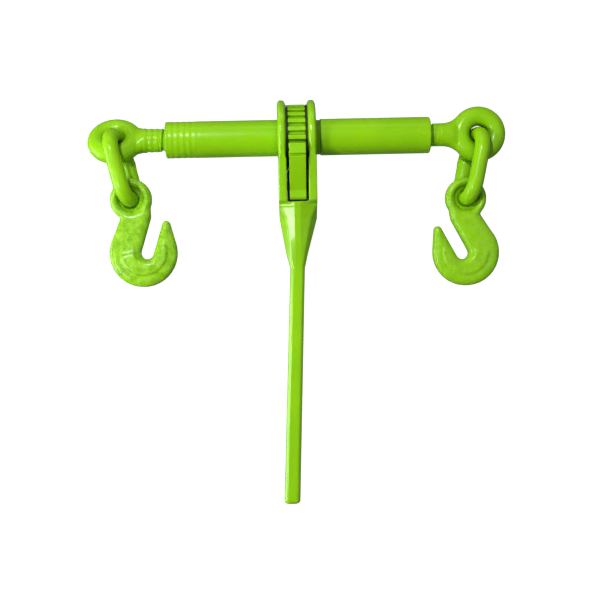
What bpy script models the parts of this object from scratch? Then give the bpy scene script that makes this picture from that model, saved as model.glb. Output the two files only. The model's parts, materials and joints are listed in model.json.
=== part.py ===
"""Ratchet load binder: a barrel with opposite-hand screw eyes, turned by a ratchet handle, with a link and a
grab hook on each eye. Metres, +Z up. The origin is on the barrel's axis in the middle of the ratchet head,
+X runs along the barrel and the handle hangs towards -Z."""

from math import ceil, cos, pi, radians, sin

import bmesh
import bpy
from mathutils import Matrix, Vector

MM = 0.001
GAP = 0.3  # clearance between neighbouring pieces, in mm, like every size below

ROUND = 32  # sides of a round piece
MIDDLE_ROUND = 24  # sides of a rod, a collar or a hook's hole
SMALL_ROUND = 16  # sides of a pin or a plunger
OVERRUN = 60.0  # a cutter reaches this far, past every face that it opens
SHARP_ANGLE = 35.0  # degrees between two faces above which their edge is drawn sharp

# Barrel
BARREL_SHIFT = 1.5  # the head sits this far left of the barrel's middle
BARREL_LENGTH = 250.0
BARREL_RADIUS = 17.2
BARREL_CHAMFER = 1.2
BARREL_WAIST = (18.4, 22.8)  # a shallow relief beside the right cheek, from and to along X
BARREL_WAIST_DEPTH = 0.9
BARREL_WAIST_EDGE = 0.4
THREAD_RADIUS = 11.0
THREAD_ZONE = 30.0  # length of each threaded end inside the barrel
RELIEF_RADIUS = 13.9  # bore between the threaded ends
RELIEF_TAPER = 3.0

# Screw eyes
EYE_CENTRE = {"left": -171.3, "right": 172.9}
EYE_TILT = {"left": -38.0, "right": 0.0}  # turn about the barrel's axis, in degrees
RING_RADIUS = 18.1  # centreline of the ring
RING_SECTION = 7.8
NECK_START = 31.0  # from the ring's centre, where the plain rod begins to widen
# distance from the ring's centre, and half size across the ring and in its plane
NECK_SECTIONS = ((25.0, 11.0, 12.5), (20.5, 9.5, 16.0), (17.0, 6.5, 17.5))
RING_STEPS = 28
RING_SIDES = 14
ROD_INNER_END = 16.0  # distance from the head to the rod's inner end, right side

# Stop collars
COLLAR_LENGTH = 8.0
COLLAR_RADIUS = 13.4
SPIGOT_RADIUS = 7.0
COLLAR_CHAMFER = 1.0
STOP_PIN_RADIUS = 1.6
STOP_PIN_INSET = 0.5

# Links
LINK_WIRE = 7.0  # radius of the wire
LINK_BOW = 17.4  # radius of the bow's centreline
LINK_PITCH = 62.0  # between the centres of the wire at the two bows
LINK_LEAN = {"left": 14.0, "right": -12.3}  # lower end towards the handle, in degrees
LINK_YAW = {"left": -5.0, "right": 12.0}
LINK_SLACK = -0.4  # the link's bow hangs this far below the section of the ring that it rests on
LINK_SIDES = 12

# Grab hooks, drawn with the opening on the -X side and the eye's centre at the origin
HOOK_EYE_RADIUS = 19.6
HOOK_EYE_ARC = (-44.0, 214.0)  # from the back of its foot round to the front
HOOK_HOLE_RADIUS = 11.6
HOOK_BOWL_RADIUS = 31.7
HOOK_BOWL_CENTRE = (-1.4, -51.4)
HOOK_BOWL_ARC = (178.0, 400.0)  # from the tip round to the back of the shank
HOOK_TIP_CENTRE = (-27.6, -29.6)
HOOK_TIP_RADIUS = 3.7
HOOK_SLOT_CENTRE = (-5.0, -52.0)
HOOK_SLOT_RADIUS = 5.9
HOOK_SLOT_LEAN = 27.5  # degrees off vertical
HOOK_SHANK = 33.0  # straight front of the shank, from the slot's end
HOOK_WAIST = (13.2, -15.5)  # hollow between eye and bowl on the back
HOOK_THICKNESS = 14.4
HOOK_TURN = {"left": 10.5, "right": 0.3}

# Ratchet
TEETH = 24
GEAR_RADIUS = 31.0
GEAR_ROOT = 28.0
GEAR_HALF_WIDTH = 8.3
TOOTH_GAP = (3.6, 2.7)  # half angle of the gap between teeth, at their tips and at their root
KEY_WIDTH = 5.0
KEY_LENGTH = 12.0
KEY_LOW = 15.4
KEY_HIGH = 19.6
WASHER_RADIUS = 30.8

# Yoke
FORK_GAP = 10.1  # half the slot between the cheeks
CHEEK_OUTER = 18.0
LOBE_RADIUS = 35.2
LOBE_ARC = (-28.0, 208.0)
SLOT_BOTTOM = -62.2
WEDGE_BOTTOM = -124.0
FORK_HALF_DEPTH = 19.5  # across the fork, at the slot's bottom
WEDGE_CHAMFER = 6.0
WEDGE_OVERLAP = 4.0  # the wedge starts this far up, inside the fork's foot
WEDGE_SHOULDER = (15.0, 0.3, 3.0)  # drop below the slot, how much narrower and shallower than the fork
WEDGE_ANKLE = (14.0, 3.4, 2.0)  # rise above the bar, how much wider and deeper than the bar
BAR_HALF_WIDTH = 6.9
BAR_HALF_DEPTH = 9.5

# Bar
BAR_END = -346.5
BAR_TOP_SHIFT = -1.8
BAR_END_SHIFT = -11.8  # the bar leans this far to the left at its end
BAR_END_HALF_WIDTH = 7.5
BAR_END_HALF_DEPTH = 8.0
BAR_CHAMFER = 2.6
BAR_END_ROUND = 2.0

# Pawl and its pin
PIN_DROP = -46.0
PIN_RADIUS = 4.0
PIN_HEAD_RADIUS = 5.3
PIN_SEAT_DEPTH = 1.6  # of the head's and the clip's recess in the cheeks
PIN_END_INSET = 0.2
PIN_GROOVE_DEPTH = 0.8
CLIP_THICKNESS = 1.0
CLIP_ARC = (-60.0, 240.0)
PAWL_ROCK = 4.0  # degrees each way
PAWL_HALF_WIDTH = 7.7
PAWL_FRONT_TOP = 37.6
PAWL_FRONT_BOTTOM = 19.5
PAWL_BOTTOM = -60.4
PAWL_HOLLOW = 34.8  # inner radius around the gear, which leaves room to rock
PAWL_TOOTH_ANGLE = 30.0  # below the horizontal, on each side
PAWL_TOOTH_HALF = (2.4, 0.8)  # half width at its root and at its tip
PAWL_TOOTH_SINK = 1.4  # how far the tooth's root is sunk in the pawl
PAWL_TOOTH_INSET = 0.05  # from the pawl's side faces
PAWL_TOOTH_REST = 0.5  # between the tooth's tip and the gear's root, fully engaged
PAWL_NOSE_ANGLE = 15.5
PAWL_HORN = ((1.0, 1.0), (0.0, 4.0))  # corners of the nose: inwards and down from its top
PAWL_GROOVE = -21.0  # height of the groove under the nose
PAWL_GROOVE_HALF = 1.5
PAWL_GROOVE_DEPTH = 3.6
PAWL_GROOVE_STEP = 0.8  # the face below the groove stands this far back
PAWL_WAIST = (8.5, -36.0)  # how far back from the nose's face, and its height
PAWL_FOOT_TOP = -52.0
PAWL_FOOT_ROUND = 2.0
PAWL_NOTCH = (6.0, 2.4)  # half width and depth of the notch over the plunger
PAWL_RIB = (5.0, 9.7)  # from and to along X, of the rib on each side of the pin
PAWL_RIB_HALF_DEPTH = 9.5
PAWL_RIB_TOP = -31.6
PAWL_RIB_LIFT = 0.8  # above the pawl's bottom

# Detent
PLUNGER_RADIUS = 3.6
PLUNGER_LENGTH = 12.0
PLUNGER_TOP = -60.5
PLUNGER_TIP = ((1.6, 3.6), (0.4, 1.8), (0.0, 0.8))  # rounded end: distance below the top and radius
BORE_BOTTOM = -98.0
SPRING_RADIUS = 2.7
SPRING_WIRE = 0.55
SPRING_TURNS = 6
SPRING_STEPS = 12  # per turn
SPRING_SIDES = 6

LIME = (0.23, 0.62, 0.0, 1.0)
STEEL = (0.55, 0.55, 0.57, 1.0)


def clear_scene():
    for obj in list(bpy.data.objects):
        bpy.data.objects.remove(obj, do_unlink=True)


def material(name, colour, roughness, metallic):
    """A Principled material with the given look."""
    made = bpy.data.materials.new(name)
    made.use_nodes = True
    shader = made.node_tree.nodes["Principled BSDF"]
    shader.inputs["Base Color"].default_value = colour
    shader.inputs["Roughness"].default_value = roughness
    shader.inputs["Metallic"].default_value = metallic
    return made


def paint(name):
    return material(name + "_paint", LIME, 0.3, 0.0)


def bare(name):
    return material(name + "_steel", STEEL, 0.35, 1.0)


def object_from(name, mesh_data, look):
    """Closes a bmesh drawn in mm into an object in metres, faces outwards, round faces shaded smooth."""
    bmesh.ops.remove_doubles(mesh_data, verts=mesh_data.verts, dist=1e-4)
    bmesh.ops.recalc_face_normals(mesh_data, faces=mesh_data.faces)
    bmesh.ops.scale(mesh_data, vec=Vector((MM, MM, MM)), verts=mesh_data.verts)
    mesh = bpy.data.meshes.new(name)
    mesh_data.to_mesh(mesh)
    mesh_data.free()
    mesh.shade_smooth()
    mesh.set_sharp_from_angle(angle=radians(SHARP_ANGLE))
    obj = bpy.data.objects.new(name, mesh)
    bpy.context.collection.objects.link(obj)
    if look:
        mesh.materials.append(look)
    return obj


def stack(rings, closed):
    """A skin over rings of points. The ends are capped, or joined to each other when closed."""
    data = bmesh.new()
    loops = [[data.verts.new(point) for point in ring] for ring in rings]
    count = len(loops[0])
    pairs = list(zip(loops, loops[1:]))
    if closed:
        pairs.append((loops[-1], loops[0]))
    for low, high in pairs:
        for i in range(count):
            j = (i + 1) % count
            data.faces.new((low[i], low[j], high[j], high[i]))
    if not closed:
        data.faces.new(loops[0][::-1])
        data.faces.new(loops[-1])
    return data


def ring_about_x(x, radius_y, radius_z, sides):
    angles = [2 * pi * i / sides for i in range(sides)]
    return [(x, radius_y * cos(a), radius_z * sin(a)) for a in angles]


def turned(profile, sides, closed):
    """A body of revolution about X from (x, radius) points."""
    return stack([ring_about_x(x, radius, radius, sides) for x, radius in profile], closed)


def wire_loop(path, radius, sides, side_way):
    """A closed wire along a flat loop of points. side_way is the loop's normal."""
    normal = Vector(side_way)
    points = [Vector(point) for point in path]
    rings = []
    for i, point in enumerate(points):
        along = (points[(i + 1) % len(points)] - points[i - 1]).normalized()
        outward = along.cross(normal)
        turns = [2 * pi * k / sides for k in range(sides)]
        rings.append([point + radius * (cos(t) * outward + sin(t) * normal) for t in turns])
    return stack(rings, closed=True)


def plate(outline, low, high, across):
    """An outline of (u, v) points pushed from low to high along X or Y: (y, z) across X, (x, z) across Y."""
    if across == "X":
        rings = [[(depth, u, v) for u, v in outline] for depth in (low, high)]
    else:
        rings = [[(u, depth, v) for u, v in outline] for depth in (low, high)]
    return stack(rings, closed=False)


def arc(centre, radius, start, end, step=12.0):
    """Points from the angle start to end, in degrees, both included."""
    count = max(1, ceil(abs(end - start) / step))
    angles = [radians(start + (end - start) * i / count) for i in range(count + 1)]
    return [(centre[0] + radius * cos(a), centre[1] + radius * sin(a)) for a in angles]


def boolean(obj, operation, *cutters):
    """Applies the named Boolean with each cutter in turn, and removes the cutters."""
    for cutter in cutters:
        modifier = obj.modifiers.new(operation.lower(), "BOOLEAN")
        modifier.operation = operation
        modifier.solver = "EXACT"
        modifier.object = cutter
        bpy.context.view_layer.update()
        graph = bpy.context.evaluated_depsgraph_get()
        result = bpy.data.meshes.new_from_object(obj.evaluated_get(graph))
        obj.modifiers.clear()
        obj.data = result
        bpy.data.objects.remove(cutter, do_unlink=True)
    obj.data.shade_smooth()
    obj.data.set_sharp_from_angle(angle=radians(SHARP_ANGLE))
    return obj


def cylinder(name, centre, radius, low, high, axis, sides=ROUND):
    """A plain cylinder along X, Y or Z. centre holds the two other coordinates, in X, Y, Z order."""
    data = turned([(low, radius), (high, radius)], sides, closed=False)
    turn = {
        "X": Matrix.Identity(3),
        "Y": Matrix.Rotation(pi / 2, 3, "Z"),
        "Z": Matrix.Rotation(-pi / 2, 3, "Y"),
    }[axis]
    shift = list(centre)
    shift.insert("XYZ".index(axis), 0.0)
    for vert in data.verts:
        vert.co = turn @ vert.co + Vector(shift)
    return object_from(name, data, None)


def box(name, low, high):
    data = bmesh.new()
    bmesh.ops.create_cube(data, size=1.0)
    for vert in data.verts:
        vert.co = Vector([(low[i] + high[i]) / 2 + vert.co[i] * (high[i] - low[i]) for i in range(3)])
    return object_from(name, data, None)


def empty(name, location, parent=None):
    """A joint's origin. Its children stay where they were drawn."""
    made = bpy.data.objects.new(name, None)
    made.empty_display_size = 0.01
    made.location = Vector(location) * MM
    bpy.context.collection.objects.link(made)
    adopt(made, parent)
    return made


def adopt(child, parent):
    if parent is None:
        return
    bpy.context.view_layer.update()
    world = child.matrix_world.copy()
    child.parent = parent
    child.matrix_world = world


def barrel_tube():
    half = BARREL_LENGTH / 2
    zone = half - THREAD_ZONE
    bore = THREAD_RADIUS + GAP
    waist_low, waist_high = (x - BARREL_SHIFT for x in BARREL_WAIST)
    waist = BARREL_RADIUS - BARREL_WAIST_DEPTH
    profile = [
        (-half, bore + BARREL_CHAMFER),
        (-half, BARREL_RADIUS - BARREL_CHAMFER),
        (-half + BARREL_CHAMFER, BARREL_RADIUS),
        (waist_low, BARREL_RADIUS),
        (waist_low + BARREL_WAIST_EDGE, waist),
        (waist_high - BARREL_WAIST_EDGE, waist),
        (waist_high, BARREL_RADIUS),
        (half - BARREL_CHAMFER, BARREL_RADIUS),
        (half, BARREL_RADIUS - BARREL_CHAMFER),
        (half, bore + BARREL_CHAMFER),
        (half - BARREL_CHAMFER, bore),
        (zone, bore),
        (zone - RELIEF_TAPER, RELIEF_RADIUS),
        (-zone + RELIEF_TAPER, RELIEF_RADIUS),
        (-zone, bore),
        (-half + BARREL_CHAMFER, bore),
    ]
    shifted = [(x + BARREL_SHIFT, radius) for x, radius in profile]
    tube = object_from("barrel_tube", turned(shifted, ROUND, closed=True), paint("barrel_tube"))
    half_key = KEY_WIDTH / 2 + GAP
    reach = KEY_LENGTH / 2 + GAP
    slot = box("slot", (-reach, -half_key, KEY_LOW - GAP), (reach, half_key, OVERRUN))
    return boolean(tube, "DIFFERENCE", slot)


def ratchet_gear():
    """A ring of TEETH teeth with a gap centred on each multiple of the pitch angle."""
    pitch = 360.0 / TEETH
    at_tip, at_root = TOOTH_GAP
    gap = ((-at_tip, GEAR_RADIUS), (-at_root, GEAR_ROOT), (at_root, GEAR_ROOT), (at_tip, GEAR_RADIUS))
    outline = []
    for i in range(TEETH):
        for angle, radius in gap:
            turn = radians(i * pitch + angle)
            outline.append((radius * cos(turn), radius * sin(turn)))
    body = plate(outline, -GEAR_HALF_WIDTH, GEAR_HALF_WIDTH, "X")
    gear = object_from("ratchet_gear", body, paint("ratchet_gear"))
    bore = cylinder("bore", (0, 0), BARREL_RADIUS + GAP, -OVERRUN, OVERRUN, "X")
    half_key = KEY_WIDTH / 2 + GAP
    keyway = box("keyway", (-OVERRUN, -half_key, 0), (OVERRUN, half_key, KEY_HIGH + GAP))
    return boolean(gear, "DIFFERENCE", bore, keyway)


def gear_key():
    half_key = KEY_WIDTH / 2
    low = (-KEY_LENGTH / 2, -half_key, KEY_LOW)
    key = box("gear_key", low, (KEY_LENGTH / 2, half_key, KEY_HIGH))
    key.data.materials.append(bare("gear_key"))
    return key


def thrust_washer(side, sign):
    low = GEAR_HALF_WIDTH + GAP
    high = FORK_GAP - GAP
    inner = BARREL_RADIUS + GAP
    profile = [(low, inner), (low, WASHER_RADIUS), (high, WASHER_RADIUS), (high, inner)]
    profile = [(sign * x, radius) for x, radius in profile]
    name = "thrust_washer_" + side
    return object_from(name, turned(profile, ROUND, closed=True), bare(name))


def yoke_side_outline():
    """The fork seen along X, as (y, z), down to the top of the wedge."""
    lobe = arc((0, 0), LOBE_RADIUS, *LOBE_ARC, 10)
    foot = SLOT_BOTTOM - WEDGE_OVERLAP
    return [*lobe, (-FORK_HALF_DEPTH, foot), (FORK_HALF_DEPTH, foot)]


def wedge():
    """Eight-sided loft from the fork's foot down to the bar."""
    shift = BAR_TOP_SHIFT
    drop, narrower, shallower = WEDGE_SHOULDER
    rise, wider, deeper = WEDGE_ANKLE
    ankle = WEDGE_BOTTOM + rise
    top = SLOT_BOTTOM - WEDGE_OVERLAP + 1
    rings = [
        bar_section(WEDGE_BOTTOM, BAR_HALF_WIDTH, BAR_HALF_DEPTH, BAR_CHAMFER, shift),
        bar_section(ankle, BAR_HALF_WIDTH + wider, BAR_HALF_DEPTH + deeper, BAR_CHAMFER + 1, shift),
        bar_section(SLOT_BOTTOM - drop, CHEEK_OUTER - narrower, FORK_HALF_DEPTH - shallower, WEDGE_CHAMFER),
        bar_section(top, CHEEK_OUTER, FORK_HALF_DEPTH, 1),
    ]
    return object_from("wedge", stack(rings, closed=False), None)


def yoke():
    side = plate(yoke_side_outline(), -CHEEK_OUTER, CHEEK_OUTER, "X")
    body = object_from("yoke", side, paint("yoke"))
    boolean(body, "UNION", wedge())
    slot = box("slot", (-FORK_GAP, -OVERRUN, SLOT_BOTTOM), (FORK_GAP, OVERRUN, OVERRUN))
    bore = cylinder("bore", (0, 0), BARREL_RADIUS + GAP, -OVERRUN, OVERRUN, "X")
    pin = cylinder("pin", (0, PIN_DROP), PIN_RADIUS + GAP, -OVERRUN, OVERRUN, "X", SMALL_ROUND)
    recess = PIN_HEAD_RADIUS + GAP
    depth = CHEEK_OUTER - PIN_SEAT_DEPTH - GAP
    right = cylinder("right", (0, PIN_DROP), recess, depth, OVERRUN, "X", SMALL_ROUND)
    left = cylinder("left", (0, PIN_DROP), recess, -OVERRUN, -depth, "X", SMALL_ROUND)
    wide = PLUNGER_RADIUS + GAP
    spring_bore = cylinder("spring_bore", (0, 0), wide, BORE_BOTTOM, PIN_DROP, "Z", SMALL_ROUND)
    return boolean(body, "DIFFERENCE", slot, bore, pin, right, left, spring_bore)


def bar_section(z, half_width, half_depth, chamfer, shift=0.0):
    """A rectangle with cut corners at the height z, moved along X by shift."""
    w, d, c = half_width, half_depth, chamfer
    front = [(w, d - c), (w - c, d), (c - w, d), (-w, d - c)]
    back = [(-x, -y) for x, y in front]
    return [(x + shift, y, z) for x, y in front + back]


def handle_bar():
    width, depth, less = BAR_END_HALF_WIDTH, BAR_END_HALF_DEPTH, BAR_END_ROUND
    rings = [
        bar_section(WEDGE_BOTTOM - GAP, BAR_HALF_WIDTH, BAR_HALF_DEPTH, BAR_CHAMFER, BAR_TOP_SHIFT),
        bar_section(BAR_END + less, width, depth, BAR_CHAMFER, BAR_END_SHIFT),
        bar_section(BAR_END, width - less, depth - less, BAR_CHAMFER, BAR_END_SHIFT),
    ]
    return object_from("handle_bar", stack(rings, closed=False), paint("handle_bar"))


def pawl_pin():
    """A headed pin with a groove for its clip at the right end."""
    head = CHEEK_OUTER - PIN_END_INSET
    seat = CHEEK_OUTER - PIN_SEAT_DEPTH
    groove = seat + CLIP_THICKNESS + PIN_END_INSET
    floor = PIN_RADIUS - PIN_GROOVE_DEPTH
    profile = [
        (-head, PIN_HEAD_RADIUS),
        (-seat, PIN_HEAD_RADIUS),
        (-seat, PIN_RADIUS),
        (seat, PIN_RADIUS),
        (seat, floor),
        (groove, floor),
        (groove, PIN_RADIUS),
        (head, PIN_RADIUS),
    ]
    data = turned(profile, SMALL_ROUND, closed=False)
    bmesh.ops.translate(data, vec=Vector((0, 0, PIN_DROP)), verts=data.verts)
    return object_from("pawl_pin", data, bare("pawl_pin"))


def pawl_pin_clip():
    """A flat open ring in the pin's groove."""
    start, end = CLIP_ARC
    outer = arc((0, PIN_DROP), PIN_HEAD_RADIUS - GAP / 3, start, end, 20)
    inner = arc((0, PIN_DROP), PIN_RADIUS - PIN_GROOVE_DEPTH + GAP, end, start, 20)
    low = CHEEK_OUTER - PIN_SEAT_DEPTH + GAP / 3
    data = plate(outer + inner, low, low + CLIP_THICKNESS, "X")
    return object_from("pawl_pin_clip", data, bare("pawl_pin_clip"))


def about_pin(point, degrees):
    """The (y, z) point turned about the pawl's pin."""
    turn = radians(degrees)
    y, z = point[0], point[1] - PIN_DROP
    return (y * cos(turn) - z * sin(turn), y * sin(turn) + z * cos(turn) + PIN_DROP)


def pawl_tooth(sign):
    """One tooth of the pawl, drawn in its gap of the gear and then turned back to neutral."""
    middle = radians(-90 + sign * (90 - PAWL_TOOTH_ANGLE))
    out = Vector((cos(middle), sin(middle)))
    along = Vector((-out.y, out.x))
    root = out * (PAWL_HOLLOW + PAWL_TOOTH_SINK)
    tip = out * (GEAR_ROOT + PAWL_TOOTH_REST)
    wide, narrow = (along * half for half in PAWL_TOOTH_HALF)
    corners = [root - wide, root + wide, tip + narrow, tip - narrow]
    turned_back = [about_pin(corner, -sign * PAWL_ROCK) for corner in corners]
    half_width = PAWL_HALF_WIDTH - PAWL_TOOTH_INSET
    return object_from("tooth", plate(turned_back, -half_width, half_width, "X"), None)


def pawl_rib(sign):
    """A rib that fills the fork beside the pin."""
    inner, outer = sorted(sign * x for x in PAWL_RIB)
    low = (inner, -PAWL_RIB_HALF_DEPTH, PAWL_BOTTOM + PAWL_RIB_LIFT)
    return box("rib", low, (outer, PAWL_RIB_HALF_DEPTH, PAWL_RIB_TOP))


def pawl():
    """A rocker with two horns round the gear and a shallow notch for the plunger."""
    hollow = arc((0, 0), PAWL_HOLLOW, -PAWL_NOSE_ANGLE, PAWL_NOSE_ANGLE - 180, 12)
    nose_drop = -PAWL_HOLLOW * sin(radians(PAWL_NOSE_ANGLE))
    face = PAWL_FRONT_TOP
    back, waist = PAWL_WAIST
    notch_half, notch_depth = PAWL_NOTCH
    side = [
        *((face - inwards, nose_drop - down) for inwards, down in PAWL_HORN),
        (face, PAWL_GROOVE + PAWL_GROOVE_HALF),
        (face - PAWL_GROOVE_DEPTH, PAWL_GROOVE),
        (face - PAWL_GROOVE_STEP, PAWL_GROOVE - PAWL_GROOVE_HALF),
        (face - back, waist),
        (PAWL_FRONT_BOTTOM, PAWL_FOOT_TOP),
        (PAWL_FRONT_BOTTOM, PAWL_BOTTOM + PAWL_FOOT_ROUND),
        (PAWL_FRONT_BOTTOM - PAWL_FOOT_ROUND, PAWL_BOTTOM),
        (notch_half, PAWL_BOTTOM),
    ]
    outline = [*hollow, *((-y, z) for y, z in side), (0.0, PAWL_BOTTOM + notch_depth), *reversed(side)]
    body = object_from("pawl", plate(outline, -PAWL_HALF_WIDTH, PAWL_HALF_WIDTH, "X"), paint("pawl"))
    boolean(body, "UNION", pawl_tooth(-1), pawl_tooth(1), pawl_rib(-1), pawl_rib(1))
    bore = cylinder("bore", (0, PIN_DROP), PIN_RADIUS + GAP, -OVERRUN, OVERRUN, "X", SMALL_ROUND)
    return boolean(body, "DIFFERENCE", bore)


def stand_up(data):
    """Turns a body drawn along X so that it runs along Z."""
    turn = Matrix.Rotation(-pi / 2, 3, "Y")
    for vert in data.verts:
        vert.co = turn @ vert.co
    return data


def detent_plunger():
    tip = [(PLUNGER_TOP - down, radius) for down, radius in PLUNGER_TIP]
    profile = [(PLUNGER_TOP - PLUNGER_LENGTH, PLUNGER_RADIUS), *tip]
    data = stand_up(turned(profile, SMALL_ROUND, closed=False))
    return object_from("detent_plunger", data, bare("detent_plunger"))


def detent_spring():
    """A coil spring between the bore's floor and the plunger."""
    low = BORE_BOTTOM + SPRING_WIRE + GAP
    high = PLUNGER_TOP - PLUNGER_LENGTH - SPRING_WIRE - GAP
    up = Vector((0, 0, 1))
    steps = SPRING_TURNS * SPRING_STEPS
    rings = []
    for i in range(steps + 1):
        angle = 2 * pi * i / SPRING_STEPS
        height = low + (high - low) * i / steps
        centre = Vector((SPRING_RADIUS * cos(angle), SPRING_RADIUS * sin(angle), height))
        outward = Vector((cos(angle), sin(angle), 0))
        turns = [2 * pi * k / SPRING_SIDES for k in range(SPRING_SIDES)]
        rings.append([centre + SPRING_WIRE * (cos(t) * outward + sin(t) * up) for t in turns])
    return object_from("detent_spring", stack(rings, closed=False), bare("detent_spring"))


def screw_eye(side, sign):
    """A threaded rod that widens into a ring. The rod's inner end has a spigot for the stop collar."""
    centre = abs(EYE_CENTRE[side])
    inner = centre - EYE_CENTRE["right"] + ROD_INNER_END
    rod = [
        (inner, SPIGOT_RADIUS, SPIGOT_RADIUS),
        (inner + COLLAR_LENGTH + GAP, SPIGOT_RADIUS, SPIGOT_RADIUS),
        (inner + COLLAR_LENGTH + GAP, THREAD_RADIUS, THREAD_RADIUS),
        (centre - NECK_START, THREAD_RADIUS, THREAD_RADIUS),
        *((centre - distance, across, up) for distance, across, up in NECK_SECTIONS),
    ]
    rings = [ring_about_x(sign * x, ry, rz, MIDDLE_ROUND) for x, ry, rz in rod]
    name = "screw_eye_" + side
    eye = object_from(name, stack(rings, closed=False), paint(name))
    turns = [2 * pi * i / RING_STEPS for i in range(RING_STEPS)]
    loop = [(sign * centre + RING_RADIUS * cos(a), 0, RING_RADIUS * sin(a)) for a in turns]
    ring = object_from("ring", wire_loop(loop, RING_SECTION, RING_SIDES, (0, 1, 0)), None)
    boolean(eye, "UNION", ring)
    pin_x = sign * (inner + COLLAR_LENGTH / 2)
    hole = cylinder("hole", (pin_x, 0), STOP_PIN_RADIUS + GAP, -OVERRUN, OVERRUN, "Z", SMALL_ROUND)
    boolean(eye, "DIFFERENCE", hole)
    eye.data.transform(Matrix.Rotation(radians(EYE_TILT[side]), 4, "X"))
    return eye


def stop_parts(side, sign):
    """The collar on the rod's inner end, and the pin through both."""
    inner = abs(EYE_CENTRE[side]) - EYE_CENTRE["right"] + ROD_INNER_END
    bore = SPIGOT_RADIUS + GAP
    low, high = inner, inner + COLLAR_LENGTH
    radius, less = COLLAR_RADIUS, COLLAR_CHAMFER
    profile = [(low, bore), (low, radius - less), (low + less, radius), (high, radius), (high, bore)]
    profile = [(sign * x, radius) for x, radius in profile]
    name = "stop_collar_" + side
    collar = object_from(name, turned(profile, MIDDLE_ROUND, closed=True), bare(name))
    pin_x = sign * (inner + COLLAR_LENGTH / 2)
    hole = cylinder("hole", (pin_x, 0), STOP_PIN_RADIUS + GAP, -OVERRUN, OVERRUN, "Z", SMALL_ROUND)
    boolean(collar, "DIFFERENCE", hole)
    reach = COLLAR_RADIUS - STOP_PIN_INSET
    pin = cylinder("stop_pin_" + side, (pin_x, 0), STOP_PIN_RADIUS, -reach, reach, "Z", SMALL_ROUND)
    pin.data.materials.append(bare("stop_pin_" + side))
    for piece in (collar, pin):
        piece.data.transform(Matrix.Rotation(radians(EYE_TILT[side]), 4, "X"))
    return collar, pin


def link(side):
    """An oval link, drawn hanging from the origin with its legs apart along Y."""
    reach = LINK_PITCH / 2 - LINK_BOW
    top = arc((0, -LINK_PITCH / 2 + reach), LINK_BOW, 0, 180, 15)
    bottom = arc((0, -LINK_PITCH / 2 - reach), LINK_BOW, 180, 360, 15)
    path = [(0, y, z) for y, z in top + bottom]
    name = "link_" + side
    made = object_from(name, wire_loop(path, LINK_WIRE, LINK_SIDES, (1, 0, 0)), paint(name))
    made.data.transform(Matrix.Rotation(radians(LINK_YAW[side]), 4, "Z"))
    return made


def hook_outline():
    """The hook seen from the front, as (x, z), anticlockwise from the back of the eye's foot."""
    slot_way = radians(90 + HOOK_SLOT_LEAN)
    slot_out = Vector((cos(slot_way), sin(slot_way)))
    slot_side = Vector((slot_out.y, -slot_out.x)) * HOOK_SLOT_RADIUS
    slot_end = Vector(HOOK_SLOT_CENTRE)
    eye = arc((0, 0), HOOK_EYE_RADIUS, *HOOK_EYE_ARC, 12)
    shank_foot = slot_end + slot_side + slot_out * HOOK_SHANK
    slot = arc(HOOK_SLOT_CENTRE, HOOK_SLOT_RADIUS, HOOK_SLOT_LEAN, HOOK_SLOT_LEAN - 180, 20)
    tip_arc = arc(HOOK_TIP_CENTRE, HOOK_TIP_RADIUS, HOOK_SLOT_LEAN, 180, 20)
    bowl = arc(HOOK_BOWL_CENTRE, HOOK_BOWL_RADIUS, *HOOK_BOWL_ARC, 10)
    return [*eye, tuple(shank_foot), *slot, *tip_arc, *bowl, HOOK_WAIST]


def grab_hook(side, sign):
    outline = [(sign * x, z) for x, z in hook_outline()]
    half = HOOK_THICKNESS / 2
    name = "hook_" + side
    body = object_from(name, plate(outline, -half, half, "Y"), paint(name))
    hole = cylinder("hole", (0, 0), HOOK_HOLE_RADIUS, -OVERRUN, OVERRUN, "Y", MIDDLE_ROUND)
    return boolean(body, "DIFFERENCE", hole)


def build_side(side, sign, head):
    """One screw eye with its stop, link and hook, each on the origin of its joint."""
    travel = empty("screw_travel_" + side, (EYE_CENTRE[side], 0, 0), head)
    adopt(screw_eye(side, sign), travel)
    for piece in stop_parts(side, sign):
        adopt(piece, travel)
    tilt = radians(EYE_TILT[side])
    rest = Vector((0, sin(tilt), -cos(tilt))) * RING_RADIUS
    link_top = Vector((EYE_CENTRE[side], 0, LINK_BOW - LINK_SLACK)) + rest
    swing = empty("link_swing_" + side, link_top, travel)
    lean = radians(LINK_LEAN[side])
    hanging = link(side)
    hanging.location = link_top * MM
    hanging.rotation_euler = (0, -lean, 0)
    adopt(hanging, swing)
    bow = link_top + Vector((sin(lean), 0, -cos(lean))) * LINK_PITCH
    hook_swing = empty("hook_swing_" + side, bow, swing)
    hook = grab_hook(side, sign)
    hook.location = bow * MM
    hook.rotation_euler = (0, -radians(HOOK_TURN[side]), 0)
    adopt(hook, hook_swing)


def main():
    clear_scene()
    head = empty("head", (0, 0, 0))
    for side, sign in (("left", -1), ("right", 1)):
        adopt(thrust_washer(side, sign), head)
        build_side(side, sign, head)
    barrel = empty("barrel_spin", (0, 0, 0), head)
    for piece in (barrel_tube(), ratchet_gear(), gear_key()):
        adopt(piece, barrel)
    handle = empty("handle_swing", (0, 0, 0), head)
    for piece in (yoke(), handle_bar(), pawl_pin(), pawl_pin_clip(), detent_spring(), detent_plunger()):
        adopt(piece, handle)
    rocker = empty("pawl_rock", (0, 0, PIN_DROP), handle)
    adopt(pawl(), rocker)


main()
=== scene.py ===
import json
from math import cos, pi, radians, sin

import bmesh
import bpy
import numpy as np
from mathutils import Matrix, Vector


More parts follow.
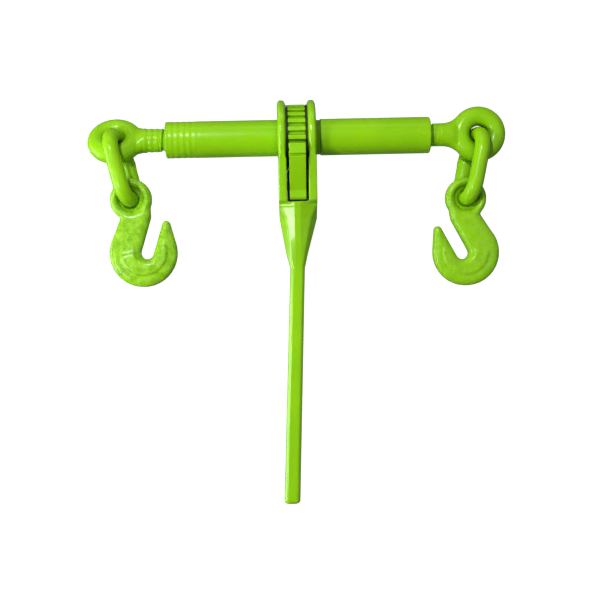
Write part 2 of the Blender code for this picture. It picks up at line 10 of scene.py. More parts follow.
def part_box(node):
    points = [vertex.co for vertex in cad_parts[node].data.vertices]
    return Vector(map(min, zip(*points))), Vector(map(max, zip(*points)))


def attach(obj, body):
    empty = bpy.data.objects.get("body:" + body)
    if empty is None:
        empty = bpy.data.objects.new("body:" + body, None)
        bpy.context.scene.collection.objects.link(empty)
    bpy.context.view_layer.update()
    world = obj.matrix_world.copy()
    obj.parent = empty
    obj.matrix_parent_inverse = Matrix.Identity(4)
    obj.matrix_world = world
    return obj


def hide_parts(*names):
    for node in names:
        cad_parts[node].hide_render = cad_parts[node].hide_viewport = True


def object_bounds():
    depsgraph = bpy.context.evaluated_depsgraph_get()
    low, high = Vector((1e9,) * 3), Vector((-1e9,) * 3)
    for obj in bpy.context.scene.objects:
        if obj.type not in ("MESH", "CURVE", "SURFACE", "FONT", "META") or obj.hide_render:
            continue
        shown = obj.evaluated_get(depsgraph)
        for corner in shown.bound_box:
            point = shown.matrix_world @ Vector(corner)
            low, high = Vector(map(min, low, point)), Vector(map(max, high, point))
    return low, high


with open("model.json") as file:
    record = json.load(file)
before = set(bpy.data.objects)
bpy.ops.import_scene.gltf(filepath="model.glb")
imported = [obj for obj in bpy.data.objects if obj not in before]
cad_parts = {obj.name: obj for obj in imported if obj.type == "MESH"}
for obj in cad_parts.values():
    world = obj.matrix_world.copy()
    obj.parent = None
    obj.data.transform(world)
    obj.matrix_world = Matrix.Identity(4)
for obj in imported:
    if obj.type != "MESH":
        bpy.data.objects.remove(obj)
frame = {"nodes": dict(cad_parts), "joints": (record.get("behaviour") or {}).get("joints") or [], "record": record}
CAD_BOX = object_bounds()
MM = 0.001
MERGE_DISTANCE = 2e-6  # in metres: corners nearer than this are one

# Names in capitals are in millimetres, unless a comment says otherwise.

# The camera: a studio view, nearly square on. Its places are in metres, its lens and sensor in millimetres.
CAMERA_AZIMUTH = radians(-1.2)
CAMERA_ROLL = radians(-1.35)
CAMERA_DISTANCE = 1.0
CAMERA_NEAREST = 0.01
CAMERA_LENS = 63.2
CAMERA_SENSOR = 36.0
PICTURE_CENTRE_X = -0.0002
PICTURE_CENTRE_Z = -0.1541

# Barrel
BARREL_SIDES = 96
BARREL_EDGE = 1.6
BARREL_EDGE_STEPS = 6
BARREL_WAIST = [(18.4, 0.0), (18.8, 0.9), (22.4, 0.9), (22.8, 0.0)]  # (along X, depth)
WAIST_MARGIN = 1.0
LEFT_RUN_STEPS = 30
RIGHT_RUN_STEPS = 25
BARREL_SHARP = 40  # in degrees: edges sharper than this stay crisp
BORE_RADIUS = 11.3
BORE_MOUTH = 1.4
BORE_LENGTH = 30.0
CHAMBER_RADIUS = 13.9
CHAMBER_TAPER = 3.0

# Shallow rings in the left neck and in the left end of the barrel
RIPPLE_PITCH = 5.7
RIPPLE_DEPTH = 0.28
RIPPLE_STEP = 0.7
RIPPLE_STEPS = 45
RIPPLE_FADE_IN = 4
RIPPLE_FADE_OUT = 12
NECK_RIPPLE_START = 25.0
NECK_RIPPLE_FADE = 4.0

# Screw eyes: ring, neck and thread. Distances along the rod are from the ring's centre.
RING_RADIUS = 17.0
RING_SECTION = 9.25
RING_STEPS = 72
RING_SIDES = 28
NECK_SIDES = 40
NECK_SECTIONS = [  # (along the rod, half the thickness, half the width)
    (-44.0, 10.9, 10.9), (-36.0, 10.9, 10.9), (-31.0, 11.0, 11.2), (-27.0, 10.9, 12.2),
    (-24.0, 10.2, 13.8), (-21.0, 9.0, 16.0), (-18.5, 7.6, 17.5), (-16.5, 6.5, 17.8),
]
THREAD_RADIUS = 11.0
THREAD_ROOT = 9.5
THREAD_LEAD = 5.0
THREAD_START = 37.5
THREAD_OVERLAP = 4.0  # how far it runs out under the neck
THREAD_STEP = 0.5
THREAD_SIDES = 48
THREAD_FADE = 3.0
THREAD_FADE_AT_NECK = 0.6
THREAD_FADE_AT_TIP = 0.1
THREAD_SHARP = 50  # in degrees
FLANK_SLOPE = 1.55
FLANK_DROP = 0.2
SPIGOT_LENGTH = 8.3
SPIGOT_RADIUS = 7.0
SPIGOT_CHAMFER = 0.8
SPIGOT_SIDES = 32
SPIGOT_OVERLAP = 0.2

# Links
LINK_WIRE = 7.25
LINK_BOW = 17.4
LINK_PITCH = 62.0
LINK_TWIST = {"left": 0.14, "right": -0.03}  # in radians, the far leg towards +X
LINK_BOW_STEPS = 36
LINK_LEG_STEPS = 16
LINK_SIDES = 28
WELD_LEG = 0.5  # how near the leg's centre line a point of it lies
WELD_SWELL = 0.55
WELD_PLACE = 3.0
WELD_SPREAD = 3.2

# Hooks
HOOK_ROLL = 7.5  # the width of the rounding along the outline
HOOK_RIM = 0.34  # the thickness at the outline, as a share of the whole
HOOK_BOWL_REACH = 51.0  # from the eye's centre to the bowl's
HOOK_EYE_REACH = 17.0
HOOK_EYE_FADE = 5.0
HOOK_EYE_SWELL = 4.25
HOOK_LAST_ROUNDS = 4  # of smoothing, after the reshaping
PAD_HEIGHT = {"left": 0.28, "right": 0.16}  # as a share of the hook's thickness
PAD_RADIUS = 15.0
PAD_HALF_WIDTH = 6.5
PAD_SIDE_EDGE = 0.35
PAD_TOP = 2.0
PAD_TOP_EDGE = 1.2

# Fork and wedge
FORK_GAP = 10.1
CHEEK_OUTER = 18.0
CHEEK_ROUNDING = 0.7  # the share of the cheek's thickness that its rim loses
LOBE_RADIUS = 35.2
RIM_WIDTH = 1.3  # in half thicknesses of the cheek
ROUNDED_ABOVE = -24.0
ROUNDED_FADE = 10.0
BORE_CLEAR = 22.0
BRIDGE_HALF = (5.0, 7.5, 1.5)  # the block that runs the bar into the wedge
CROWN_MIDDLE = -0.8
CROWN_FLAT = 2.6
CROWN_SLOPE = 0.36
CROWN_TOP = -61.0
CROWN_TOP_FADE = 3.0
CROWN_END = -135.0
CROWN_END_FADE = 45.0
CROWN_DEPTH = 9.0  # half the wedge's thickness where the crown is full

# How each forging is rounded: (voxel, rounds of smoothing)
EYE_FORGING = (0.7, 6)
HOOK_FORGING = (0.7, 2)
HANDLE_FORGING = (0.75, 8)
GEAR_FORGING = (0.45, 6)
PAWL_FORGING = (0.45, 3)

# The studio, in metres and watts
STUDIO_RADIUS = 3.2
STUDIO_SIDES = 64
STUDIO_DROP = 0.5
STUDIO_TOP = 4.0
STUDIO_GLOW = 1.0
FLOOR_DEPTH = 0.01
WORLD_STRENGTH = 0.16
LIGHT_TARGET = (0.0, 0.0, -0.12)
WEDGE_FACE = (-0.01, 0.0, -0.09)
LIGHTS = [  # (name, place, target, size, power)
    ("key", (-0.42, -1.3, 0.55), LIGHT_TARGET, (0.09, 0.09), 12.0),
    ("left_strip", (-1.1, -0.1, -0.25), LIGHT_TARGET, (0.5, 0.8), 8.0),
    ("fill", (0.9, -1.3, 0.1), LIGHT_TARGET, (1.0, 1.0), 2.0),
    ("wedge_glint", (-0.63, -0.75, -0.31), WEDGE_FACE, (0.22, 0.36), 4.2),
    ("back", (0.45, 1.1, 0.25), LIGHT_TARGET, (0.4, 0.4), 9.0),
    ("top", (-0.2, -0.5, 1.2), LIGHT_TARGET, (1.2, 0.3), 2.0),
]
UNSEEN_LIGHT = "back"  # it would show in pictures and glint in narrow gaps

# Paint
CREASE_SHADE_REACH = 0.022  # in metres: how near a surface has to be for painted shade to darken another
PEEL_DEPTH = 0.00005  # in metres

# Colours, in linear light
LIME = (0.285, 0.640, 0.001, 1.0)
LIME_DEEP = (0.240, 0.570, 0.001, 1.0)
LIME_PALE = (0.34, 0.70, 0.02, 1.0)
LIME_SHADE = (0.075, 0.205, 0.001, 1.0)
LIME_FROST = (0.42, 0.68, 0.13, 1.0)
LIME_DARK = (0.140, 0.360, 0.002, 1.0)
# painted shade: both steel colours are kept nearly black so that the washers and pins in the fork's gaps read as
# shade; the mix between them is staining
STEEL = (0.045, 0.047, 0.045, 1.0)
STEEL_DARK = (0.015, 0.016, 0.015, 1.0)
WHITE = (1.0, 1.0, 1.0, 1.0)
STUDIO_GREY = (0.55, 0.55, 0.55, 1.0)
STUDIO_PALE = (0.60, 0.60, 0.60, 1.0)


# ---------------------------------------------------------------- materials

class Nodes:
    """A short way to write a material's node tree."""

    def __init__(self, name):
        self.material = bpy.data.materials.new(name)
        self.material.use_nodes = True
        self.tree = self.material.node_tree
        self.shader = self.tree.nodes["Principled BSDF"]

    def add(self, kind):
        return self.tree.nodes.new(kind)

    def link(self, source, target):
        self.tree.links.new(source, target)

    def noise(self, scale, detail=3.0, roughness=0.5):
        place = self.add("ShaderNodeTexCoord")
        made = self.add("ShaderNodeTexNoise")
        made.inputs["Scale"].default_value = scale
        made.inputs["Detail"].default_value = detail
        made.inputs["Roughness"].default_value = roughness
        self.link(place.outputs["Object"], made.inputs["Vector"])
        return made.outputs["Fac"]

    def remap(self, value, low, high, from_low=0.3, from_high=0.7):
        made = self.add("ShaderNodeMapRange")
        made.inputs["From Min"].default_value = from_low
        made.inputs["From Max"].default_value = from_high
        made.inputs["To Min"].default_value = low
        made.inputs["To Max"].default_value = high
        self.link(value, made.inputs["Value"])
        return made.outputs["Result"]

    def mix(self, factor, first, second):
        made = self.add("ShaderNodeMix")
        made.data_type = "RGBA"
        self.link(factor, made.inputs["Factor"])
        for socket, value in ((made.inputs["A"], first), (made.inputs["B"], second)):
            if isinstance(value, tuple):
                socket.default_value = value
            else:
                self.link(value, socket)
        return made.outputs["Result"]

    def bump(self, height, distance, strength=1.0, under=None):
        made = self.add("ShaderNodeBump")
        made.inputs["Distance"].default_value = distance
        made.inputs["Strength"].default_value = strength
        self.link(height, made.inputs["Height"])
        if under is not None:
            self.link(under, made.inputs["Normal"])
        return made.outputs["Normal"]


def paint_material(name, lumps=0.0003, mottle=0.0, coat=0.08, coat_roughness=0.16):
    """Glossy lime enamel over a forging: orange peel, slow lumps, paler on edges, and painted shade darkening
    creases and gaps.

    lumps is their depth in metres, and mottle is how strongly frosty and dark patches show, from 0 to 1.
    """
    nodes = Nodes(name)
    tone = nodes.mix(nodes.remap(nodes.noise(22.0), 0.0, 1.0), LIME_DEEP, LIME)
    if mottle:
        frost = nodes.remap(nodes.noise(330.0, 5.0, 0.65), 0.0, mottle, 0.48, 0.66)
        dark = nodes.remap(nodes.noise(150.0, 5.0, 0.65), mottle, 0.0, 0.36, 0.56)
        tone = nodes.mix(dark, nodes.mix(frost, tone, LIME_FROST), LIME_DARK)
    point = nodes.add("ShaderNodeNewGeometry").outputs["Pointiness"]
    tone = nodes.mix(nodes.remap(point, 0.0, 0.5, 0.51, 0.57), tone, LIME_PALE)
    # painted shade: the colour darkens towards LIME_SHADE where other surfaces are near, in creases, gaps and
    # under parts
    crease_shade = nodes.add("ShaderNodeAmbientOcclusion")
    crease_shade.inputs["Distance"].default_value = CREASE_SHADE_REACH
    tone = nodes.mix(nodes.remap(crease_shade.outputs["AO"], 0.95, 0.0, 0.10, 0.72), tone, LIME_SHADE)
    nodes.link(tone, nodes.shader.inputs["Base Color"])
    nodes.link(nodes.remap(nodes.noise(60.0), 0.24, 0.36), nodes.shader.inputs["Roughness"])
    peel = nodes.bump(nodes.noise(420.0, 2.0), PEEL_DEPTH, 0.5)
    forged = nodes.bump(nodes.noise(70.0, 4.0, 0.6), lumps, 0.6, under=peel)
    nodes.link(forged, nodes.shader.inputs["Normal"])
    nodes.shader.inputs["Coat Weight"].default_value = coat
    nodes.shader.inputs["Coat Roughness"].default_value = coat_roughness
    nodes.shader.inputs["Specular IOR Level"].default_value = 0.25
    return nodes.material


def steel_material(name):
    """Nearly black steel, darkened as painted shade for the washers and pins seen in the fork's gaps, with fine
    scratches and stains.
    """
    nodes = Nodes(name)
    stain = nodes.remap(nodes.noise(90.0, 5.0), 0.0, 1.0, 0.35, 0.75)
    nodes.link(nodes.mix(stain, STEEL, STEEL_DARK), nodes.shader.inputs["Base Color"])
    nodes.link(nodes.remap(nodes.noise(300.0), 0.45, 0.65), nodes.shader.inputs["Roughness"])
    nodes.link(nodes.bump(nodes.noise(900.0, 4.0), 0.00003, 0.5), nodes.shader.inputs["Normal"])
    nodes.shader.inputs["Metallic"].default_value = 0.5
    return nodes.material


def studio_material(name):
    """A pale sheet that glows evenly."""
    nodes = Nodes(name)
    tone = nodes.mix(nodes.noise(1.5), STUDIO_GREY, STUDIO_PALE)
    nodes.link(tone, nodes.shader.inputs["Base Color"])
    nodes.shader.inputs["Roughness"].default_value = 0.9
    nodes.shader.inputs["Emission Color"].default_value = WHITE
    nodes.shader.inputs["Emission Strength"].default_value = STUDIO_GLOW
    return nodes.material


# ---------------------------------------------------------------- meshes

def new_object(name, mesh):
    made = bpy.data.objects.new(name, mesh)
    bpy.context.scene.collection.objects.link(made)
    return made


def turns(count):
    """Angles that go evenly once round."""
    return [2 * pi * k / count for k in range(count)]


def circle(x, radius, sides):
    """A circle of points about the barrel's axis."""
    return [(x, radius * cos(turn), radius * sin(turn)) for turn in turns(sides)]


def skin(rings, closed_ends=True, closed_loop=False):
    """A bmesh over rings of points. A closed loop runs from the last ring back to the first."""
    data = bmesh.new()
    loops = [[data.verts.new(point) for point in ring] for ring in rings]
    count = len(loops[0])
    pairs = list(zip(loops, loops[1:]))
    if closed_loop:
        pairs.append((loops[-1], loops[0]))
    for low, high in pairs:
        for i in range(count):
            j = (i + 1) % count
            data.faces.new((low[i], low[j], high[j], high[i]))
    if closed_ends and not closed_loop:
        data.faces.new(loops[0][::-1])
        data.faces.new(loops[-1])
    bmesh.ops.recalc_face_normals(data, faces=data.faces)
    return data


def mesh_from(data, name):
    mesh = bpy.data.meshes.new(name)
    data.to_mesh(mesh)
    data.free()
    return mesh


def joined(name, *sources):
    """One mesh of several bmeshes or meshes."""
    whole = bmesh.new()
    for source in sources:
        mesh = source if isinstance(source, bpy.types.Mesh) else mesh_from(source, name)
        whole.from_mesh(mesh)
    bmesh.ops.remove_doubles(whole, verts=whole.verts, dist=1e-6)
    return mesh_from(whole, name)


def apply_modifiers(obj):
    bpy.context.view_layer.update()
    graph = bpy.context.evaluated_depsgraph_get()
    mesh = bpy.data.meshes.new_from_object(obj.evaluated_get(graph))
    obj.modifiers.clear()
    obj.data = mesh


def add_smoothing(obj, rounds):
    smooth = obj.modifiers.new("smooth", "SMOOTH")
    smooth.factor = 0.5
    smooth.iterations = rounds


def forge(obj, voxel, rounds):
    """Runs the pieces of a mesh together and rounds its edges, as a forging's are."""
    remesh = obj.modifiers.new("remesh", "REMESH")
    remesh.mode = "VOXEL"
    remesh.voxel_size = voxel * MM
    add_smoothing(obj, rounds)
    apply_modifiers(obj)


def ramp(values, start, length):
    """0 before start, rising to 1 over length. A negative length rises the other way."""
    return np.clip((values - start) / length, 0.0, 1.0)


def soft_step(values, start, edge):
    """1 below start and 0 above it, blended over about the edge."""
    return 1.0 / (1.0 + np.exp((values - start) / edge))


def positions(mesh):
    flat = np.empty(len(mesh.vertices) * 3)
    mesh.vertices.foreach_get("co", flat)
    return flat.reshape(-1, 3)


def set_positions(mesh, points):
    mesh.vertices.foreach_set("co", points.reshape(-1))
    mesh.update()


def finish_piece(obj, body, material, *nodes, sharp=None):
    """Paints a piece and rides it on its body, in place of these CAD nodes."""
    obj.data.materials.clear()
    obj.data.materials.append(material)
    obj.data.shade_smooth()
    if sharp:
        obj.data.set_sharp_from_angle(angle=radians(sharp))
    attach(obj, body)
    if nodes:
        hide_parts(*nodes)


def cad_mesh(node):
    """A copy of a CAD node's mesh with its corners joined."""
    data = bmesh.new()
    data.from_mesh(frame["nodes"][node].data)
    bmesh.ops.remove_doubles(data, verts=data.verts, dist=MERGE_DISTANCE)
    return mesh_from(data, node + "_copy")


def joint(name):
    return next(j for j in frame["joints"] if j["name"] == name)


# ---------------------------------------------------------------- pieces

def barrel_profile(start, length, radius):
    """The tube's section as (x, radius) from its start: along the outside, and back through the bore."""
    edge = BARREL_EDGE * MM
    left_edge = []
    for i in range(BARREL_EDGE_STEPS, -1, -1):
        turn = pi / 2 * i / BARREL_EDGE_STEPS
        left_edge.append((edge * (1 - sin(turn)), radius - edge * (1 - cos(turn))))
    right_edge = [(length - x, r) for x, r in reversed(left_edge)]
    outside = []
    for i in range(1, RIPPLE_STEPS):
        x = edge + RIPPLE_STEP * MM * i
        fade = min(1.0, i / RIPPLE_FADE_IN, (RIPPLE_STEPS - i) / RIPPLE_FADE_OUT)
        wave = 0.5 - 0.5 * cos(2 * pi * x / (RIPPLE_PITCH * MM))
        outside.append((x, radius - MM * RIPPLE_DEPTH * fade * wave))
    margin = WAIST_MARGIN * MM
    waist = [(x * MM - start, radius - depth * MM) for x, depth in BARREL_WAIST]
    left_run = np.linspace(outside[-1][0] + 2 * margin, waist[0][0] - margin, LEFT_RUN_STEPS)
    right_run = np.linspace(waist[-1][0] + margin, length - edge - 2 * margin, RIGHT_RUN_STEPS)
    outside += [(x, radius) for x in left_run]
    outside += waist
    outside += [(x, radius) for x in right_run]
    bore = BORE_RADIUS * MM
    mouth = BORE_MOUTH * MM
    bore_end = BORE_LENGTH * MM
    chamber = CHAMBER_RADIUS * MM
    chamber_end = (BORE_LENGTH + CHAMBER_TAPER) * MM
    inside = [
        (length, bore + mouth), (length - mouth, bore),
        (length - bore_end, bore), (length - chamber_end, chamber),
        (chamber_end, chamber), (bore_end, bore),
        (mouth, bore), (0.0, bore + mouth),
    ]
    return left_edge + outside + right_edge + inside


def barrel(material):
    low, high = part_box("barrel_tube")
    profile = barrel_profile(low.x, high.x - low.x, (high.z - low.z) / 2)
    rings = [circle(low.x + x, radius, BARREL_SIDES) for x, radius in profile]
    tube = mesh_from(skin(rings, closed_loop=True), "barrel_painted")
    obj = new_object("barrel_painted", tube)
    finish_piece(obj, "barrel", material, "barrel_tube", sharp=BARREL_SHARP)


def eye_frame(side):
    """The ring's centre, its axis, and which way along X the rod leaves the barrel."""
    swing = joint(f"link_{side}_swing")
    sign = -1.0 if side == "left" else 1.0
    return Vector(swing["pos_m"]), Vector(swing["axis"]).normalized(), sign


def ripple_neck(mesh, centre, sign):
    """Shallow rings round the neck, inwards from the ring."""
    points = positions(mesh)
    along = np.abs(points[:, 0] - centre.x) / MM
    inward = (points[:, 0] - centre.x) * sign < 0
    fade = ramp(along, NECK_RIPPLE_START, NECK_RIPPLE_FADE) * inward
    swell = 1.0 + fade * RIPPLE_DEPTH / THREAD_RADIUS * np.cos(2 * pi * along / RIPPLE_PITCH)
    points[:, 1:] *= swell[:, None]
    set_positions(mesh, points)


def eye_ring(side, material):
    """Ring and neck in one forging. The neck's sections are ellipses that widen in the ring's plane."""
    centre, axis, sign = eye_frame(side)
    out = Vector((sign, 0, 0))
    up = axis.cross(out)
    ring = []
    for turn in turns(RING_STEPS):
        radial = cos(turn) * out + sin(turn) * up
        middle = centre + radial * RING_RADIUS * MM
        around = [cos(a) * radial + sin(a) * axis for a in turns(RING_SIDES)]
        ring.append([middle + RING_SECTION * MM * way for way in around])
    neck = []
    for along, thin, wide in NECK_SECTIONS:
        middle = centre + out * along * MM
        around = [thin * cos(a) * axis + wide * sin(a) * up for a in turns(NECK_SIDES)]
        neck.append([middle + MM * way for way in around])
    name = f"eye_ring_{side}"
    obj = new_object(name, joined(name, skin(ring, closed_loop=True), skin(neck)))
    forge(obj, *EYE_FORGING)
    if side == "left":
        ripple_neck(obj.data, centre, sign)
    finish_piece(obj, f"screw_{side}", material, f"screw_eye_{side}")


def thread_radius(x, turn, fade):
    """The screw's radius in metres at this place along it and round it."""
    phase = (x / (THREAD_LEAD * MM) - turn / (2 * pi)) % 1.0
    height = min(1.0, max(0.0, FLANK_SLOPE * (abs(phase - 0.5) * 2) - FLANK_DROP))
    depth = (1.0 - height) * (THREAD_RADIUS - THREAD_ROOT) * fade
    return (THREAD_RADIUS - depth) * MM


def thread(side, material):
    """The rod's screw thread, right-hand on the right and left-hand on the left, fading into the neck."""
    centre, _, sign = eye_frame(side)
    low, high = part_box(f"screw_eye_{side}")
    tip = min(abs(low.x), abs(high.x))
    inner = tip + SPIGOT_LENGTH * MM
    start = abs(centre.x) - THREAD_START * MM
    outer = abs(centre.x) - (THREAD_START - THREAD_OVERLAP) * MM
    run_out = THREAD_FADE * MM
    steps = int((outer - inner) / (THREAD_STEP * MM))
    rings = []
    for i in range(steps + 1):
        x = inner + (outer - inner) * i / steps
        at_neck = max(0.0, (start - x) / run_out + THREAD_FADE_AT_NECK)
        at_tip = (x - inner) / run_out + THREAD_FADE_AT_TIP
        fade = min(1.0, at_neck, at_tip)
        ring = []
        for turn in turns(THREAD_SIDES):
            radius = thread_radius(x, turn, fade)
            ring.append((sign * x, radius * cos(turn), radius * sin(turn)))
        rings.append(ring)
    obj = new_object(f"thread_{side}", mesh_from(skin(rings), f"thread_{side}"))
    finish_piece(obj, f"screw_{side}", material, sharp=THREAD_SHARP)
    sections = [
        (tip, SPIGOT_RADIUS - SPIGOT_CHAMFER),
        (tip + SPIGOT_CHAMFER * MM, SPIGOT_RADIUS),
        (inner + SPIGOT_OVERLAP * MM, SPIGOT_RADIUS),
    ]
    spigot = [circle(sign * x, radius * MM, SPIGOT_SIDES) for x, radius in sections]
    end = new_object(f"spigot_{side}", mesh_from(skin(spigot), f"spigot_{side}"))
    finish_piece(end, f"screw_{side}", material, sharp=THREAD_SHARP)


def link_axes(points, side):
    """The link's way across, along and through, from where its CAD points lie."""
    _, vectors = np.linalg.eigh(np.cov((points - points.mean(0)).T))
    wide, along = Vector(vectors[:, 1]), Vector(vectors[:, 2])
    if wide.y < 0:
        wide = -wide
    wide = (wide + LINK_TWIST[side] * Vector((1, 0, 0))).normalized()
    thin = wide.cross(along).normalized()
    return along.cross(thin), along, thin


def link_path():
    """The link's centre line in millimetres, as a loop of points across and along it."""
    reach = LINK_PITCH / 2 - LINK_BOW
    path = []
    for end in (1, -1):
        for i in range(LINK_BOW_STEPS + 1):
            turn = pi * i / LINK_BOW_STEPS
            path.append(end * Vector((LINK_BOW * cos(turn), reach + LINK_BOW * sin(turn))))
        for i in range(1, LINK_LEG_STEPS):
            path.append(Vector((-end * LINK_BOW, end * (reach - 2 * reach * i / LINK_LEG_STEPS))))
    return path


def chain_link(side, material):
    """One link, with the slight swell of its flash weld on one leg."""
    points = positions(cad_mesh(f"link_{side}"))
    middle = Vector(points.mean(0))
    wide, along, thin = link_axes(points, side)
    path = link_path()
    rings = []
    for i, point in enumerate(path):
        ahead = (path[(i + 1) % len(path)] - path[i - 1]).normalized()
        outward = Vector((ahead.y, -ahead.x))
        weld = 0.0
        if point.x > LINK_BOW - WELD_LEG:
            weld = WELD_SWELL * np.exp(-((point.y - WELD_PLACE) / WELD_SPREAD) ** 2)
        radius = LINK_WIRE + weld
        ring = []
        for a in turns(LINK_SIDES):
            flat = point + outward * radius * cos(a)
            ring.append(middle + MM * (wide * flat.x + along * flat.y + thin * radius * sin(a)))
        rings.append(ring)
    name = f"chain_link_{side}"
    obj = new_object(name, mesh_from(skin(rings, closed_loop=True), name))
    finish_piece(obj, f"link_{side}", material, f"link_{side}")


def outline_segments(mesh):
    """The hook's outline in the XZ plane, as the ends of the edges between a flat face and the rim."""
    data = bmesh.new()
    data.from_mesh(mesh)
    data.normal_update()
    found = []
    for edge in data.edges:
        if len(edge.link_faces) != 2:
            continue
        faces = sorted(face.normal.y for face in edge.link_faces)
        if faces[1] > 0.9 and abs(faces[0]) < 0.5:
            found.append([(v.co.x, v.co.z) for v in edge.verts])
    data.free()
    return np.array(found)


def outline_distance(points, segments):
    """Distance from each (x, z) point to the nearest segment."""
    best = np.full(len(points), 1e9)
    for (ax, az), (bx, bz) in segments:
        start = np.array((ax, az))
        way = np.array((bx, bz)) - start
        size = max(1e-12, way @ way)
        share = np.clip(((points - start) @ way) / size, 0.0, 1.0)
        gap = points - start - share[:, None] * way
        best = np.minimum(best, np.sqrt((gap ** 2).sum(1)))
    return best


def hook_fullness(flat, eye, segments, side):
    """The thickness at each (x, z) as a share of the CAD's: rolled off at the rim, raised at the pad."""
    distance = outline_distance(flat, segments) / MM
    share = np.clip(distance / HOOK_ROLL, 0.0, 1.0)
    rolled = HOOK_RIM + (1.0 - HOOK_RIM) * np.sqrt(1.0 - (1.0 - share) ** 2)
    from_eye = flat - eye
    lowest = from_eye[np.argmax((from_eye ** 2).sum(1))]
    down = lowest / np.linalg.norm(lowest)
    from_bowl = from_eye - down * HOOK_BOWL_REACH * MM
    ring = np.sqrt((from_bowl ** 2).sum(1)) / MM
    pad = soft_step(np.abs(ring - PAD_RADIUS), PAD_HALF_WIDTH, PAD_SIDE_EDGE)
    below = soft_step(from_bowl @ -down / MM, PAD_TOP, PAD_TOP_EDGE)
    return rolled * (1.0 + PAD_HEIGHT[side] * pad * below)


def grab_hook(side, material):
    """A forged hook: full in the middle, rolled over at its rim, with a raised pad in the bowl."""
    source = cad_mesh(f"hook_{side}")
    segments = outline_segments(source)
    obj = new_object(f"forged_hook_{side}", source)
    forge(obj, *HOOK_FORGING)
    points = positions(obj.data)
    flat = points[:, [0, 2]]
    back, front = points[:, 1].max(), points[:, 1].min()
    middle = (back + front) / 2
    depth = points[:, 1] - middle
    eye = np.array(joint(f"hook_{side}_swing")["pos_m"])[[0, 2]]
    from_eye = flat - eye
    reach = np.sqrt((from_eye ** 2).sum(1)) / MM
    bulge = 1.0 - np.clip(np.abs(depth) / ((back - front) / 2), 0.0, 1.0) ** 2
    swell = HOOK_EYE_SWELL * bulge * ramp(reach, HOOK_EYE_REACH, -HOOK_EYE_FADE)
    moved = eye + from_eye * (1.0 - swell / np.maximum(reach, 1.0))[:, None]
    points[:, 0] = moved[:, 0]
    points[:, 2] = moved[:, 1]
    points[:, 1] = middle + depth * hook_fullness(flat, eye, segments, side)
    set_positions(obj.data, points)
    add_smoothing(obj, HOOK_LAST_ROUNDS)
    apply_modifiers(obj)
    finish_piece(obj, f"hook_{side}", material, f"hook_{side}")


def block(middle, half):
    """A box about a point, from half its sides."""
    data = bmesh.new()
    bmesh.ops.create_cube(data, size=2.0)
    for vert in data.verts:
        vert.co = middle + Vector([vert.co[i] * half[i] for i in range(3)])
    return data


def round_cheeks(points):
    """Thins the fork's cheeks towards their round tops."""
    middle = (FORK_GAP + CHEEK_OUTER) / 2
    rim_width = RIM_WIDTH * (CHEEK_OUTER - FORK_GAP) / 2
    reach = np.sqrt((points[:, 1:] ** 2).sum(1)) / MM
    rim = ramp(reach, LOBE_RADIUS - rim_width, rim_width)
    rounded = ramp(points[:, 2] / MM, ROUNDED_ABOVE, ROUNDED_FADE) * (reach > BORE_CLEAR)
    keep = 1.0 - rounded * CHEEK_ROUNDING * (1.0 - np.sqrt(1.0 - rim ** 2))
    cheek = np.sign(points[:, 0]) * middle * MM
    points[:, 0] = cheek + (points[:, 0] - cheek) * keep


def crown_wedge(points):
    """Slopes the wedge's front and back away to both sides of a narrow flat."""
    height = points[:, 2] / MM
    aside = np.abs(points[:, 0] / MM - CROWN_MIDDLE)
    drop = np.maximum(aside - CROWN_FLAT, 0.0) * CROWN_SLOPE
    wedge = ramp(height, CROWN_TOP, -CROWN_TOP_FADE) * ramp(height, CROWN_END, CROWN_END_FADE)
    outer = np.clip(np.abs(points[:, 1]) / (CROWN_DEPTH * MM), 0.0, 1.0)
    points[:, 1] -= np.sign(points[:, 1]) * drop * wedge * outer * MM


def handle(material):
    """Yoke, wedge and bar as one forging."""
    bar_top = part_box("handle_bar")[1].z
    bridge = block(Vector((0.0, 0.0, bar_top)), Vector(BRIDGE_HALF) * MM)
    whole = joined("handle_forging", cad_mesh("yoke"), cad_mesh("handle_bar"), bridge)
    obj = new_object("handle_forging", whole)
    forge(obj, *HANDLE_FORGING)
    points = positions(obj.data)
    round_cheeks(points)
    crown_wedge(points)
    set_positions(obj.data, points)
    finish_piece(obj, "handle", material, "yoke", "handle_bar")


def rounded_copy(name, node, body, material, forging):
    obj = new_object(name, cad_mesh(node))
    forge(obj, *forging)
    finish_piece(obj, body, material, node)


def bare_steel(material):
    """Gives their material to the CAD nodes of bare steel, which carry over as they are."""
    for subpart in frame["record"]["subparts"]:
        if subpart["material_slot"] == "bare_steel":
            mesh = frame["nodes"][subpart["node"]].data
            mesh.materials.clear()
            mesh.materials.append(material)


# ---------------------------------------------------------------- studio

def area_light(name, place, target, size, power):
    light = bpy.data.lights.new(name, "AREA")
    light.shape = "RECTANGLE"
    light.size, light.size_y = size
    light.energy = power
    made = new_object(name, light)
    made.location = place
    made.rotation_mode = "QUATERNION"
    made.rotation_quaternion = (Vector(target) - Vector(place)).to_track_quat("-Z", "Y")
    if name == UNSEEN_LIGHT:
        made.visible_camera = False
        made.visible_glossy = False


def studio_sheet(name, rings, closed_ends):
    """A pale sheet round the object that only the camera sees, so it neither lights nor shades the paint."""
    sheet = new_object(name, mesh_from(skin(rings, closed_ends=closed_ends), name))
    sheet.data.materials.append(studio_material(name))
    sheet.visible_diffuse = False
    sheet.visible_glossy = False
    sheet.visible_shadow = False


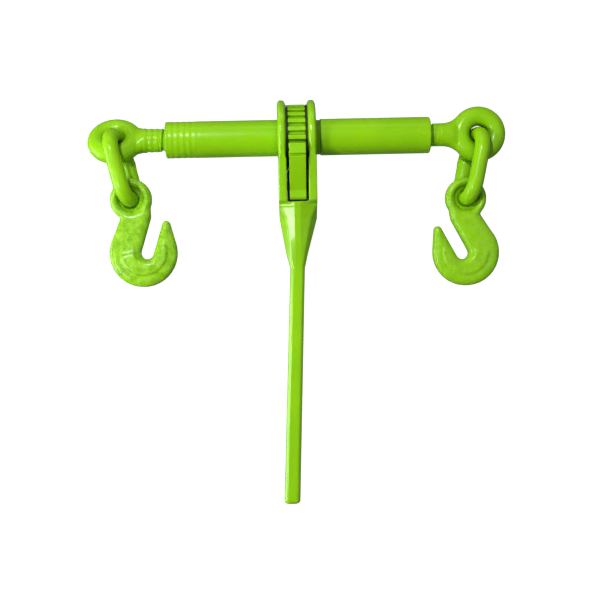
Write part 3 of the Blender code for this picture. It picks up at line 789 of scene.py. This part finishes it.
def studio():
    """A round pale room, an even grey world and soft lights."""
    floor_z = CAD_BOX[0].z - STUDIO_DROP
    outline = [(STUDIO_RADIUS * cos(turn), STUDIO_RADIUS * sin(turn)) for turn in turns(STUDIO_SIDES)]
    heights = (floor_z - FLOOR_DEPTH, floor_z, STUDIO_TOP)
    levels = [[(x, y, z) for x, y in outline] for z in heights]
    studio_sheet("pale_floor", levels[:2], True)
    studio_sheet("pale_wall", levels[1:], False)
    world = bpy.data.worlds.new("studio")
    world.use_nodes = True
    background = world.node_tree.nodes["Background"]
    background.inputs["Color"].default_value = WHITE
    background.inputs["Strength"].default_value = WORLD_STRENGTH
    bpy.context.scene.world = world
    for light in LIGHTS:
        area_light(*light)
    bpy.context.scene.view_settings.view_transform = "Standard"


def camera():
    data = bpy.data.cameras.new("camera")
    data.sensor_width = CAMERA_SENSOR
    data.lens = CAMERA_LENS
    data.clip_start = CAMERA_NEAREST
    made = new_object("camera", data)
    away = Vector((sin(CAMERA_AZIMUTH), -cos(CAMERA_AZIMUTH), 0.0))
    sideways = Vector((cos(CAMERA_AZIMUTH), sin(CAMERA_AZIMUTH), 0.0))
    aim = sideways * PICTURE_CENTRE_X + Vector((0, 0, PICTURE_CENTRE_Z))
    made.location = aim + away * CAMERA_DISTANCE
    turn = (-away).to_track_quat("-Z", "Y").to_matrix() @ Matrix.Rotation(CAMERA_ROLL, 3, "Z")
    made.rotation_euler = turn.to_euler()
    bpy.context.scene.camera = made


def main():
    camera()
    studio()
    paint = paint_material("lime_enamel")
    hook_paint = {
        "left": paint_material("lime_enamel_rough", lumps=0.0012, mottle=0.7),
        "right": paint_material("lime_enamel_fair", lumps=0.0010, mottle=0.3),
    }
    smooth_paint = paint_material("lime_enamel_smooth", lumps=0.00005)
    barrel(smooth_paint)
    for side in ("left", "right"):
        eye_ring(side, paint)
        thread(side, paint)
        chain_link(side, paint)
        grab_hook(side, hook_paint[side])
    handle(paint_material("lime_enamel_handle", lumps=0.0002, coat=0.45, coat_roughness=0.10))
    rounded_copy("gear_painted", "ratchet_gear", "barrel", paint, GEAR_FORGING)
    rounded_copy("pawl_painted", "pawl", "pawl", paint, PAWL_FORGING)
    # painted shade: the bare steel parts are nearly black so the fork's gaps look shaded
    bare_steel(steel_material("steel_darkened_as_shade"))


main()
bpy.context.view_layer.update()
